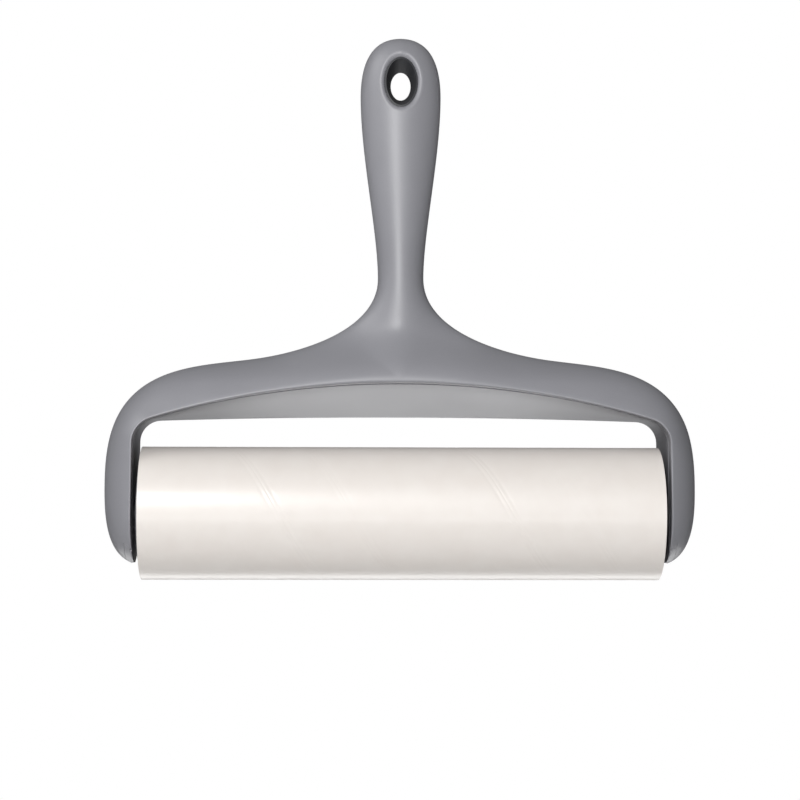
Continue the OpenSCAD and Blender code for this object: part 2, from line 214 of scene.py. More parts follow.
# %% [markdown]
# ## The crest
#
# Across the frame the skin swells from its thin rim to a crest. Down the handle the crest is
# the middle line. At the bridge it parts, and each half follows the edge of the window that
# the roll sits in: along a shallow arch, round a corner and down the arm. It waits at the
# parting for the rim to go by, because that is what keeps the shoulders smooth.


# %% The window's edge and the crest
def window_edge(q, top, radius, fillet, inset):
    """q from 0 to 1 runs along the arch, 1 to 2 round the corner, 2 to 3 down the arm."""
    cx = INSIDE_X - fillet
    drop = math.sqrt((radius - fillet) ** 2 - cx * cx)
    cz = top - radius + drop
    lean = math.atan2(cx, drop)
    if q < 1:
        a = q * lean
        return Vector((0, top - radius)) + (radius + inset) * Vector((math.sin(a), math.cos(a)))
    if q < 2:
        a = mix(lean, math.pi / 2, q - 1)
        return Vector((cx, cz)) + (fillet + inset) * Vector((math.sin(a), math.cos(a)))
    return Vector((INSIDE_X + inset, mix(cz, -ARM_DROP, q - 2)))


def window_length(q):
    cx = INSIDE_X - CORNER_R
    drop = math.sqrt((ARCH_R - CORNER_R) ** 2 - cx * cx)
    lean = math.atan2(cx, drop)
    runs = [ARCH_R * lean, CORNER_R * (math.pi / 2 - lean), ARCH_Z - ARCH_R + drop + ARM_DROP]
    return sum(run * max(0, min(1, q - k)) for k, run in enumerate(runs)), runs


def q_at(length):
    for k, run in enumerate(window_length(3)[1]):
        if length <= run or k == 2:
            return k + min(1, length / run)
        length -= run


CREST_TOP = mix(GRIP_Z, HANDLE_TOP, 0.35)
PARTING = CREST_TOP - ARCH_Z
PARTING_U = 2.5
# Where the crest is when the rim reaches each mark: how far along its own path, in millimetres.
KNOTS = [(0, 0), (1, CREST_TOP - GRIP_Z), (1.5, CREST_TOP - rim(1.5).y), (2, CREST_TOP - NECK_Z),
         (PARTING_U, PARTING), (3, PARTING + window_length(0.42)[0]), (4, PARTING + window_length(0.92)[0]),
         (5, PARTING + window_length(2.3)[0]), (FOOT_END, PARTING + window_length(2.985)[0])]
KNOTS = [(length_at(u), along) for u, along in KNOTS]


def knot_slope(k):
    """Monotone cubic slopes, and a standstill at the parting."""
    if k == 4:
        return 0.0
    steps = [(b[1] - a[1]) / (b[0] - a[0]) for a, b in zip(KNOTS, KNOTS[1:])]
    if k == 0 or k == len(KNOTS) - 1:
        return steps[min(k, len(steps) - 1)]
    return 2 * steps[k - 1] * steps[k] / (steps[k - 1] + steps[k])


SLOPES = [knot_slope(k) for k in range(len(KNOTS))]


def crest_path(u):
    s = length_at(u)
    k = 0
    while k < len(KNOTS) - 2 and s > KNOTS[k + 1][0]:
        k += 1
    (s0, c0), (s1, c1) = KNOTS[k], KNOTS[k + 1]
    h, t = s1 - s0, (s - s0) / (s1 - s0)
    return (c0 * (1 + 2 * t) * (1 - t) ** 2 + c1 * t * t * (3 - 2 * t)
            + h * (SLOPES[k] * t * (1 - t) ** 2 - SLOPES[k + 1] * t * t * (1 - t)))


def crest(u, side, inset):
    """The front (side -1) or rear (side 1) crest beside the rim's point u."""
    top, radius, fillet = (ARCH_Z, ARCH_R, CORNER_R) if side < 0 else (BACK_Z, BACK_ARCH_R, BACK_CORNER_R)
    along = crest_path(u)
    if along < PARTING - 1e-6:
        neck_along = CREST_TOP - NECK_Z
        if along < neck_along:
            return Vector((0, CREST_TOP - along))
        return Vector((0, mix(NECK_Z, top + inset, (along - neck_along) / (PARTING - neck_along))))
    return window_edge(q_at(along - PARTING), top, radius, fillet, inset)


def half_depth(z, inset):
    """Half the frame's greatest thickness at this height, moved inward by inset."""
    grip = mix(GRIP_T / 2, NECK_T / 2, ease((GRIP_Z - z) / (GRIP_Z - NECK_Z)))
    swell = mix(grip, LIP_Y, ease((ROOT_Z - z) / (ROOT_Z - ARCH_Z)))
    return swell * math.sqrt(max(0.04, 1 - (min(0, z) / (ARM_DROP - inset)) ** 2)) - inset


# %% [markdown]
# ## Sections and solid blocks
#
# One section is an elliptical arc from the rim to the front crest, a rounded lip, a straight
# run through the window to the rear lip, and an arc back. Down the handle each arc is a full
# quarter turn, so the two halves meet in a smooth crest. Beside the window it eases to less,
# so the skin reaches the lip on a slope, and the lip shows as an edge. Sweeping the section
# down the outline gives half the frame as a solid block. A flat grid is added, each of its
# points is sent to its place on the sections, and Mirror makes the other half. Blocks that
# are a little smaller hollow out the wall later, as the core of a mould does.

# %% A section, and a block swept from sections
LIP_ROUND = 0.9
LIP_STEPS = 6
LIP_SWEEP = math.radians(62)
# How far beyond the parting, in millimetres, the arc and the lip's rounding have eased in.
SWEEP_EASE, LIP_EASE = 60, 20


def sweep(u):
    """The section's arc: a quarter turn down the handle, easing to less beside the window."""
    return mix(math.pi / 2, LIP_SWEEP, ease((crest_path(u) - PARTING) / SWEEP_EASE))


def corner_curve(a, b, c, steps):
    """Points of a rounded corner from a to c, whose sharp corner would be b."""
    places = [k / steps for k in range(1, steps + 1)]
    return [a * (1 - t) ** 2 + b * 2 * t * (1 - t) + c * t * t for t in places]


def section(u, inset, window_inset, lip_round, arc_steps, strip_steps):
    """One closed-up section of the frame, from the rim round the front and back to the rim."""
    eased = ease((crest_path(u) - PARTING) / LIP_EASE)
    halves = []
    for side in (-1, 1):
        start = rim(u, inset)
        edge = crest(u, side, window_inset)
        shy = crest(u, side, window_inset + lip_round)
        full = sweep(u)
        share = 1 - (edge - shy).length / (edge - start).length * eased
        end = math.acos(1 - (1 - math.cos(full)) * share)
        arc = []
        for k in range(arc_steps + 1):
            a = end * k / arc_steps
            p = mix(start, shy, (1 - math.cos(a)) / (1 - math.cos(end)))
            depth = side * half_depth(p.y, inset) * math.sin(a) / math.sin(full)
            arc.append(Vector((p.x, depth, p.y)))
        halves.append((arc, Vector((edge.x, side * half_depth(edge.y, inset), edge.y))))
    (front, front_lip), (rear, rear_lip) = halves
    run = (rear_lip - front_lip).normalized() * lip_round
    ring = front + corner_curve(front[-1], front_lip, front_lip + run, LIP_STEPS)
    ring += [mix(front_lip + run, rear_lip - run, k / strip_steps) for k in range(1, strip_steps)]
    ring += [rear_lip - run] + corner_curve(rear_lip - run, rear_lip, rear[-1], LIP_STEPS)
    return ring + rear[-2::-1]


def swept(name, rings):
    """Half a solid whose rings start on the middle plane, as a grid, mirrored and closed."""
    rows, columns = len(rings) - 1, len(rings[0]) - 1
    bpy.ops.object.select_all(action="DESELECT")
    bpy.ops.mesh.primitive_grid_add(x_subdivisions=columns, y_subdivisions=rows, size=1)
    obj = named(name)
    for v in obj.data.vertices:
        p = rings[round((v.co.y + 0.5) * rows)][round((v.co.x + 0.5) * columns)]
        v.co = metres(max(0, p.x), p.y, p.z)
    middle = 1e-3 * MM
    pick(obj, "FACE", lambda f: all(obj.data.vertices[i].co.x < middle for i in f.vertices))
    bpy.ops.mesh.delete(type="FACE")
    bpy.ops.mesh.select_all(action="SELECT")
    bpy.ops.mesh.remove_doubles(threshold=MERGE)
    finish_edit()
    used = {}
    for f in obj.data.polygons:
        for key in f.edge_keys:
            used[key] = used.get(key, 0) + 1
    open_end = {key for key, count in used.items() if count == 1
                and max(obj.data.vertices[i].co.x for i in key) > middle}
    pick(obj, "EDGE", lambda e: tuple(sorted(e.vertices)) in open_end)
    bpy.ops.mesh.edge_face_add()
    finish_edit()
    use_modifier(obj, "MIRROR", use_axis=(True, False, False), use_mirror_merge=True,
                 merge_threshold=MERGE)
    pick(obj, "FACE", lambda f: True)
    bpy.ops.mesh.normals_make_consistent(inside=False)
    finish_edit()
    return obj


def frame_block(name, inset=0, window_inset=0, lip_round=0.02, spacing=4, arc_steps=8, strip_steps=4,
                last=FOOT_END):
    count = round(length_at(last) / spacing)
    stations, k = [], 0
    for i in range(count + 1):
        want = length_at(last) * i / count
        while k < MARK_STEPS - 1 and LENGTHS[k + 1] < want:
            k += 1
        share = (want - LENGTHS[k]) / (LENGTHS[k + 1] - LENGTHS[k])
        stations.append(min(last, mix(MARKS[k], MARKS[k + 1], share)))
    parting = min(range(len(stations)), key=lambda i: abs(stations[i] - PARTING_U))
    stations[parting] = PARTING_U
    return swept(name, [section(u, inset, window_inset, lip_round, arc_steps, strip_steps) for u in stations])


block = frame_block("frame_block", lip_round=LIP_ROUND, spacing=1.5, arc_steps=24, strip_steps=12)
print("block faces:", len(block.data.polygons))

# %% [markdown]
# ## The hanging hole
#
# The handle hangs on a nail by an oval hole that tapers in from both faces to a narrow waist.
# Its rim is rounded where it meets the handle's curved face, so the depth of the face is
# measured with a ray at each point of the rim. The result is a tool body that cuts the hole,
# and a fatter one that becomes the hole's wall inside the hollow handle. A thin liner stands
# against that wall, in a charcoal colour that is painted shade: it darkens the hole's inside
# where shade falls. It follows the same taper, and ends a little below both faces, so that a
# rim of grey shows round it.

# %% Tool bodies for the hanging hole
HOLE_Z = -AXIS_Z / MM
HOLE_HALF = Vector((8, 11.4)) / 2
MOUTH_HALF = Vector((14.6, 22.4)) / 2
RIM_ROUND = 1.5
RIM_STEPS = 6
# The hole's wall, the liner's wall, how far the liner's ends lie below the face, and its play.
HOLE_WALL = 1.8
LINER_WALL, LINER_SUNK, LINER_GAP = 0.8, 1.3, 0.03
# How far each tool body reaches from the middle plane: past the faces where it has to cut.
WALL_REACH, LINER_REACH, BORE_REACH = 10, 10.4, 10.6
HOLE_SIDES = 96


def lofted(name, rings):
    """A tube through closed rings of points, with both ends closed."""
    rows, columns = len(rings) - 1, len(rings[0])
    bpy.ops.object.select_all(action="DESELECT")
    bpy.ops.mesh.primitive_grid_add(x_subdivisions=columns, y_subdivisions=rows, size=1)
    obj = named(name)
    for v in obj.data.vertices:
        p = rings[round((v.co.y + 0.5) * rows)][round((v.co.x + 0.5) * columns) % columns]
        v.co = metres(*p)
    pick(obj, "FACE", lambda f: True)
    bpy.ops.mesh.remove_doubles(threshold=1e-3 * MM)
    bpy.ops.mesh.fill_holes(sides=0)
    bpy.ops.mesh.select_all(action="SELECT")
    bpy.ops.mesh.normals_make_consistent(inside=False)
    finish_edit()
    return obj


def oval(size, y, grow=0.0):
    angles = [2 * math.pi * k / HOLE_SIDES for k in range(HOLE_SIDES)]
    return [((size.x + grow) * math.cos(a), y, HOLE_Z + (size.y + grow) * math.sin(a)) for a in angles]


def liner_size(y, wall):
    """Half width and half height of the liner: its inside for wall 0, its outside for LINER_WALL."""
    mouth = MOUTH_HALF - Vector((LINER_WALL, LINER_WALL))
    return mix(HOLE_HALF, mouth, abs(y) / (GRIP_T / 2)) + Vector((wall, wall))


def hole_size(y):
    """Half width and half height of the shells' hole."""
    return liner_size(y, LINER_WALL)


def face_depth(x, z):
    """How far the handle's front face is from the middle plane here, in millimetres."""
    place = block.ray_cast(metres(x, -4 * GRIP_T, z), Vector((0, 1, 0)))[1]
    return -place.y / MM


def rounded_mouth(side):
    """Rings from outside the face, over the rounded rim, to the straight taper inside."""
    outer, edge = oval(MOUTH_HALF, 0, RIM_ROUND), oval(MOUTH_HALF, 0)
    rings = [[] for k in range(RIM_STEPS + 2)]
    for (xo, _, zo), (xe, _, ze) in zip(outer, edge):
        top, lip = face_depth(xo, zo), face_depth(xe, ze)
        low = lip - RIM_ROUND
        inner = hole_size(low)
        a = math.atan2((ze - HOLE_Z) / MOUTH_HALF.y, xe / MOUTH_HALF.x)
        end = Vector((inner.x * math.cos(a), low, HOLE_Z + inner.y * math.sin(a)))
        points = [Vector((xo, top + 2, zo)), Vector((xo, top, zo))]
        points += corner_curve(points[1], Vector((xe, lip, ze)), end, RIM_STEPS)
        for ring, p in zip(rings, points):
            ring.append((p.x, side * p.y, p.z))
    return rings


front_mouth, rear_mouth = rounded_mouth(-1), rounded_mouth(1)
# The narrowest ring is a hair wider than the taper gives, which takes the sharpness off it.
waist = [oval(hole_size(y), y, 0.02 if y == 0 else 0.0) for y in (-5, -1.5, -0.4, 0, 0.4, 1.5, 5)]
hole_tool = lofted("hole_tool", front_mouth + waist + rear_mouth[::-1])
wall_places = (-WALL_REACH, -5, 0, 5, WALL_REACH)
liner_places = (-LINER_REACH, -5, 0, 5, LINER_REACH)
bore_places = (-BORE_REACH, -5, -1.5, 0, 1.5, 5, BORE_REACH)
lining = lofted("hole_lining", [oval(hole_size(y), y, HOLE_WALL) for y in wall_places])
# The liner's charcoal colour is painted shade for the dark inside of the hanging hole.
hole_liner = lofted("painted_shade_hole_liner", [oval(hole_size(y), y, -LINER_GAP) for y in liner_places])
liner_bore = lofted("liner_bore", [oval(liner_size(y, 0), y) for y in bore_places])
print("hole tool faces:", len(hole_tool.data.polygons))

# %% [markdown]
# ## Two shells
#
# The handle is two mouldings screwed together. They part along the middle of the rim, and in
# the window the front shell's lip covers the edge of the rear one, which closes the underside
# of the bridge. The block is hollowed, the hole's wall and the screw posts are added, and the
# shells are cut apart. A shallow groove follows each joint line, as it does where two
# moulded edges with tiny radii meet. It is deeper along the lip, where it shows.

# %% Tool bodies for parting the shells
# How far back from the frame's front the lip reaches, on the bridge and down the arms.
LIP_ON_BRIDGE, LIP_ON_ARM = 1.8, 7
GROOVE = 0.25
LIP_GROOVE = 0.55
CAVITY_END, POST_END = FOOT_END - 0.24, FOOT_END - 0.12
# Room for the panel behind the lip in the front shell, and the panel that fills it.
PANEL_ROOM, PANEL_T = WALL + 0.8, WALL + 0.7


def slab(name, low, high):
    middle = metres(*((a + b) / 2 for a, b in zip(low, high)))
    bpy.ops.mesh.primitive_cube_add(size=1, location=middle, scale=[(b - a) * MM for a, b in zip(low, high)])
    bpy.ops.object.transform_apply()
    return named(name)


def behind_seam(gap):
    """A tall prism over everything behind the window's joint line."""
    bridge_y, arm_y = LIP_ON_BRIDGE - LIP_Y - gap, LIP_ON_ARM - LIP_Y - gap
    step_x, far_x, back_y = ROLL_L / 2 - 2 * CORNER_R, OUTSIDE_X + 5, LIP_Y + 5
    plan = [(-step_x, bridge_y), (step_x, bridge_y), (INSIDE_X - 1, arm_y), (far_x, arm_y),
            (far_x, back_y), (-far_x, back_y), (-far_x, arm_y), (1 - INSIDE_X, arm_y)]
    bpy.ops.mesh.primitive_circle_add(vertices=len(plan), fill_type="NGON")
    obj = named("behind_seam")
    for v, (x, y) in zip(obj.data.vertices, plan):
        v.co = metres(x, y, -ARM_DROP - 5)
    pick(obj, "FACE", lambda f: True)
    up = (0, 0, (BRIDGE_Z + ARM_DROP + 10) * MM)
    bpy.ops.mesh.extrude_region_move(TRANSFORM_OT_translate={"value": up})
    bpy.ops.mesh.select_all(action="SELECT")
    bpy.ops.mesh.normals_make_consistent(inside=False)
    finish_edit()
    return obj


def window_band(low, high):
    """The part of space from low to high millimetres above the window's surface."""
    rings = []
    reach = LIP_Y + 2
    for k in range(121):
        q = 3.06 * k / 120
        ring = []
        for y, inset in ((-reach, low), (reach, low), (reach, high), (-reach, high)):
            front = window_edge(q, ARCH_Z, ARCH_R, CORNER_R, inset)
            rear = window_edge(q, BACK_Z, BACK_ARCH_R, BACK_CORNER_R, inset)
            p = mix(front, rear, (y + LIP_Y) / (2 * LIP_Y))
            ring.append(Vector((p.x, y, p.y)))
        rings.append(ring + ring[:1])
    return swept("window_band", rings)


def rods(name, ends, radius, sides=48):
    """Straight rods between pairs of points, as one object."""
    made = []
    for a, b in ends:
        a, b = metres(*a), metres(*b)
        turn = (b - a).to_track_quat("Z", "Y").to_euler()
        bpy.ops.mesh.primitive_cylinder_add(vertices=sides, radius=radius * MM, depth=(b - a).length,
                                            location=(a + b) / 2, rotation=turn)
        bpy.ops.object.transform_apply()
        made.append(bpy.context.object)
    for obj in made:
        obj.select_set(True)
    bpy.ops.object.join()
    return named(name)


handle_screws = [(0, mix(NECK_Z, GRIP_Z, 0.12)), (0, mix(NECK_Z, GRIP_Z, 0.72))]
bridge_screw = (0.52 * INSIDE_X, mix(ARCH_Z, BRIDGE_Z, 0.42))
arm_screw = (INSIDE_X + ARM_W / 2, ROLL_R - 4)
SCREWS = handle_screws + [(m * x, z) for x, z in (bridge_screw, arm_screw) for m in (-1, 1)]


def screw_rods(name, y0, y1, radius):
    return rods(name, [((x, y0, z), (x, y1, z)) for x, z in SCREWS], radius)


def arm_rods(name, x0, x1, radius):
    return rods(name, [((m * x0, 0, 0), (m * x1, 0, 0)) for m in (-1, 1)], radius, sides=64)


# %% Hollow the block and add the hole's wall
combine(block, frame_block("cavity", WALL, WALL, last=CAVITY_END), "DIFFERENCE")
core = frame_block("post_trimmer", WALL / 2, WALL / 2, last=POST_END)
combine(block, combine(lining, core, "INTERSECT", keep_tool=True), "UNION")
combine(block, hole_tool, "DIFFERENCE")
combine(hole_liner, frame_block("liner_trimmer", LINER_SUNK), "INTERSECT")
combine(hole_liner, liner_bore, "DIFFERENCE")
print("hollow block:", len(block.data.polygons), "faces")

# %% Part the shells
far = 2 * HANDLE_TOP
front_shell = duplicate(block, "front_shell_moulding")
rear_shell = duplicate(block, "rear_shell_moulding")
bpy.data.objects.remove(block)
combine(front_shell, slab("rear_half", (-far, -SEAM / 2, -far), (far, far, far)), "DIFFERENCE")
panel_room = combine(window_band(-1, PANEL_ROOM), behind_seam(SEAM), "INTERSECT")
combine(front_shell, panel_room, "DIFFERENCE")
rear_room = combine(window_band(-1, PANEL_T), behind_seam(0), "INTERSECT")
combine(rear_room, slab("rear_half", (-far, SEAM / 2, -far), (far, far, far)), "UNION")
combine(rear_shell, rear_room, "INTERSECT")
print("front shell:", len(front_shell.data.polygons), "rear shell:", len(rear_shell.data.polygons))

# %% Screw posts, wells and the bushes' seats
BOSS_R, TOWER_R, PILOT_R, CLEAR_R, WELL_R = 2.95, 4.2, 1.22, 1.65, 3.1
BUSH_R, BUSH_END, SLEEVE_WALL = 5.55, INSIDE_X + 4.2, 1.6
# Where the pilot holes end in the front bosses, and how far the wells reach in from the back.
PILOT_Y, WELL_Y = -7, 4
bosses = combine(screw_rods("bosses", -LIP_Y, -SEAM / 2, BOSS_R), core, "INTERSECT", keep_tool=True)
towers = combine(screw_rods("towers", SEAM / 2, LIP_Y, TOWER_R), core, "INTERSECT")
combine(front_shell, bosses, "UNION")
combine(rear_shell, towers, "UNION")
bush_sleeves = arm_rods("bush_sleeves", INSIDE_X + WALL / 2, BUSH_END + 1, BUSH_R + SLEEVE_WALL)
combine(rear_shell, bush_sleeves, "UNION")
combine(rear_shell, arm_rods("bush_bores", INSIDE_X - 1, BUSH_END, BUSH_R), "DIFFERENCE")
combine(front_shell, screw_rods("pilot_holes", PILOT_Y, 1, PILOT_R), "DIFFERENCE")
combine(rear_shell, screw_rods("clear_holes", 0, LIP_Y + 1, CLEAR_R), "DIFFERENCE")
combine(rear_shell, screw_rods("head_wells", WELL_Y, LIP_Y + 1, WELL_R), "DIFFERENCE")
print("front shell:", len(front_shell.data.polygons), "rear shell:", len(rear_shell.data.polygons))

# %% Grooves along the joint lines
under_groove = frame_block("under_groove", 0.4, -1)
rim_groove = combine(frame_block("rim_groove", -1, 0.6), under_groove, "DIFFERENCE")
combine(rim_groove, slab("groove_slab", (-far, -GROOVE, -far), (far, GROOVE, far)), "INTERSECT")
lip_groove = combine(window_band(-1, 0.6), behind_seam(0), "INTERSECT")
combine(lip_groove, behind_seam(-2 * LIP_GROOVE), "DIFFERENCE")
for shell in (front_shell, rear_shell):
    combine(shell, rim_groove, "DIFFERENCE", keep_tool=True)
    combine(shell, lip_groove, "DIFFERENCE", keep_tool=True)
for tool in (rim_groove, lip_groove):
    bpy.data.objects.remove(tool)
for piece, node, slot in ((front_shell, "front_shell", "frame_plastic"),
                          (rear_shell, "rear_shell", "frame_plastic"),
                          (hole_liner, "hole_liner", "liner_plastic")):
    only(piece)
    bpy.ops.object.shade_smooth_by_angle(angle=math.radians(32))
    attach(piece, "frame")
    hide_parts(node)
    print(piece.name, len(piece.data.polygons), "faces")

# %% [markdown]
# ## The sticky roll
#
# The refill is a long strip of film wound on a cardboard tube. The film is cut through along a
# slow helix, so that a used turn tears off. At each cut the film lifts a little and dips on
# both sides, which breaks up the reflections. The sheet is a grid whose columns run along the
# helix, with more columns close to the cuts, rolled into a tube with a thin wall.

# %% The top sheet
HELIX_PITCH = 90
# Each cut's place along the pitch, and how strong it is.
CUTS = [(41.5, 1.0), (69.8, 0.45)]
CUT_DEPTH = 0.05
SHEET_T = 0.15
# What is taken off the film's radius and thickness, so that its relief stays inside the roll.
FILM_SUNK, FILM_PLAY = 0.02, 0.03
NEAR_CUT = (0.25, 0.5, 0.9, 1.3, 1.7, 2.1, 2.5, 3, 3.6)


def from_cut(x, place):
    """Distance along the roll from a cut, whichever way round the helix is shorter."""
    return (x - place + HELIX_PITCH / 2) % HELIX_PITCH - HELIX_PITCH / 2


def cut_relief(d):
    """Height of the film near a cut, in millimetres, at this distance along the roll."""
    dips = math.exp(-((abs(d) - 1.9) / 0.8) ** 2)
    slit = math.exp(-(d / 0.3) ** 2)
    return -CUT_DEPTH * dips - CUT_DEPTH * slit


def helix_columns():
    """Where the columns cross the front of the roll, along one pitch of the helix."""
    even = [HELIX_PITCH * k / 110 for k in range(110)]
    both_sides = [-d for d in NEAR_CUT] + [0] + list(NEAR_CUT)
    near = [(place + d) % HELIX_PITCH for place, _ in CUTS for d in both_sides]
    clear = [x for x in even if all(abs(from_cut(x, place)) > 4 for place, _ in CUTS)]
    return sorted(clear + near)


def film_height(start, x):
    """Relief at one point: the cuts, and slow unevenness of the winding."""
    height = 0.012 * math.sin(x / 23 + 1) * math.sin(start / 7.3)
    for place, strength in CUTS:
        height += strength * cut_relief(from_cut(start, place))
    return height


starts = helix_columns()
rings = []
ROWS = 200
for row in range(ROWS + 1):
    x = ROLL_L * (row / ROWS - 0.5)
    ring = []
    for start in starts:
        a = 2 * math.pi * (x - start) / HELIX_PITCH
        r = ROLL_R - FILM_SUNK + min(FILM_SUNK, film_height(start, x))
        ring.append((x, -r * math.cos(a), -r * math.sin(a)))
    rings.append(ring)
top_sheet = lofted("top_sheet_film", rings)
pick(top_sheet, "FACE", lambda f: len(f.vertices) > 4)
bpy.ops.mesh.delete(type="FACE")
finish_edit()
use_modifier(top_sheet, "SOLIDIFY", thickness=(SHEET_T - FILM_PLAY) * MM, offset=-1)
bpy.ops.object.shade_smooth_by_angle(angle=math.radians(50))
print("top sheet:", len(top_sheet.data.polygons), "faces")

# %% [markdown]
# The wound film shows its layers only at the two ends, as rings that stand a hair in or out.
# A cylinder's end is inset ring by ring, and every other ring is pushed in a little. The last
# inset is the bore, and Bridge joins the two bores.

# %% The wound film under the top sheet
CORE_R = 38.1 / 2 + 1.6
LAYERS = 15
bpy.ops.object.select_all(action="DESELECT")
bpy.ops.mesh.primitive_cylinder_add(vertices=160, radius=(ROLL_R - SHEET_T) * MM, depth=ROLL_L * MM,
                                    end_fill_type="NGON", location=metres(0, 0, 0),
                                    rotation=(0, math.pi / 2, 0))
bpy.ops.object.transform_apply()
wound = named("wound_film")
layer = (ROLL_R - SHEET_T - CORE_R) / LAYERS
for k in range(LAYERS):
    pick(wound, "FACE", lambda f: len(f.vertices) > 4)
    bpy.ops.mesh.inset(thickness=layer * MM, depth=(-0.12 if k % 2 == 0 else 0.1) * MM)
    finish_edit()
pick(wound, "FACE", lambda f: len(f.vertices) > 4)
bpy.ops.mesh.delete(type="ONLY_FACE")
finish_edit()


def on_bore(v):
    """Whether this point of the wound film lies on its bore."""
    return abs(math.hypot(v.co.y, v.co.z - AXIS_Z) - CORE_R * MM) < 0.3 * layer * MM


pick(wound, "EDGE", lambda e: all(on_bore(wound.data.vertices[i]) for i in e.vertices))
bpy.ops.mesh.bridge_edge_loops()
bpy.ops.mesh.select_all(action="SELECT")
bpy.ops.mesh.normals_make_consistent(inside=False)
finish_edit()
bpy.ops.object.shade_smooth_by_angle(angle=math.radians(25))
print("wound film:", len(wound.data.polygons), "faces")

for piece, node, slot in ((top_sheet, "top_sheet", "top_sheet"),
                          (wound, "adhesive_roll", "wound_paper")):
    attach(piece, "roller")
    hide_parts(node)

# %% [markdown]
# ## Materials
#
# Each finish is a Principled shader with a little variation in colour, gloss and height, at
# the scale that the real surface has. The helper adds one node, sets it and links it. Colours
# are written as on a colour card, and turned into linear light once.


# %% Helpers for materials
def linear(card):
    """A card colour such as 8A8B90, as linear red, green, blue and alpha."""
    parts = [int(card[k:k + 2], 16) / 255 for k in (0, 2, 4)]
    return [p / 12.92 if p <= 0.04045 else ((p + 0.055) / 1.055) ** 2.4 for p in parts] + [1.0]


def node(material, kind, links=None, **settings):
    """Add a node. A setting is an attribute or an input, and a link is input: (node, output)."""
    made = material.node_tree.nodes.new(kind)
    for key, value in settings.items():
        if hasattr(made, key):
            setattr(made, key, value)
        else:
            made.inputs[key.replace("_", " ")].default_value = value
    for name, (source, output) in (links or {}).items():
        material.node_tree.links.new(source.outputs[output], made.inputs[name])
    return made


def new_material(name, **settings):
    """A Principled material with constant values set on the shader's own sockets."""
    material = bpy.data.materials.new(name)
    material.use_nodes = True
    shader = material.node_tree.nodes["Principled BSDF"]
    for key, value in settings.items():
        shader.inputs[key.replace("_", " ")].default_value = value
    return material, shader


def feed(material, shader, name, source, output):
    material.node_tree.links.new(source.outputs[output], shader.inputs[name])


def dress(obj, material):
    """Give an object this one material."""
    obj.data.materials.clear()
    obj.data.materials.append(material)


def per_mm(size):
    """Noise scale whose features are about this many millimetres across, on Object coordinates."""
    return 1 / (size * MM)


# %% [markdown]
# **Grey ABS, satin mould.** The mould is spark-eroded, which leaves an even, very fine grain
# that spreads the highlights. The melt flowing through the mould leaves slow, cloudy changes
# of tone, and handling adds a few fine scratches. The real grain is under a tenth of a
# millimetre. It is drawn at 0.45 mm, the finest that shows at this distance.


# %% Moulded grey ABS
def moulded_abs():
    material, shader = new_material("grey_abs_satin", Roughness=0.42, IOR=1.53)
    place = node(material, "ShaderNodeTexCoord")
    cloud = node(material, "ShaderNodeTexNoise", {"Vector": (place, "Object")}, Scale=per_mm(28),
                 Detail=3.0)
    tone = node(material, "ShaderNodeMix", {"Factor": (cloud, "Fac")}, data_type="RGBA")
    tone.inputs["A"].default_value = linear("828287")
    tone.inputs["B"].default_value = linear("8B8B90")
    grain = node(material, "ShaderNodeTexNoise", {"Vector": (place, "Object")}, Scale=per_mm(0.45),
                 Detail=2.0)
    speck = node(material, "ShaderNodeMapRange", {"Value": (grain, "Fac")})
    speck.inputs["To Min"].default_value = 0.96
    speck.inputs["To Max"].default_value = 1.04
    shade = node(material, "ShaderNodeMix", {"A": (tone, "Result"), "B": (speck, "Result")},
                 data_type="RGBA", blend_type="MULTIPLY")
    shade.inputs["Factor"].default_value = 1.0
    gloss = node(material, "ShaderNodeMapRange", {"Value": (cloud, "Fac")})
    gloss.inputs["To Min"].default_value = 0.36
    gloss.inputs["To Max"].default_value = 0.46
    # Scratches: a noise squeezed to thin lines along X.
    squeeze = node(material, "ShaderNodeMapping", {"Vector": (place, "Object")})
    squeeze.inputs["Scale"].default_value = (per_mm(14), per_mm(0.5), per_mm(0.5))
    lines = node(material, "ShaderNodeTexNoise", {"Vector": (squeeze, "Vector")}, Scale=1.0, Detail=1.0)
    rare = node(material, "ShaderNodeMapRange", {"Value": (lines, "Fac")})
    rare.inputs["From Min"].default_value = 0.68
    rare.inputs["From Max"].default_value = 0.74
    height = node(material, "ShaderNodeMath", {0: (grain, "Fac"), 1: (rare, "Result")},
                  operation="SUBTRACT")
    bump = node(material, "ShaderNodeBump", {"Height": (height, "Value")}, Strength=0.25, Distance=0.02 * MM)
    feed(material, shader, "Base Color", shade, "Result")
    feed(material, shader, "Roughness", gloss, "Result")
    feed(material, shader, "Normal", bump, "Normal")
    return material


# %% [markdown]
# **Sticky film.** A cream film with a satin surface, under a thin coat of glue that is a
# little shinier. Winding leaves faint clouds of tone and gloss and a soft orange peel.


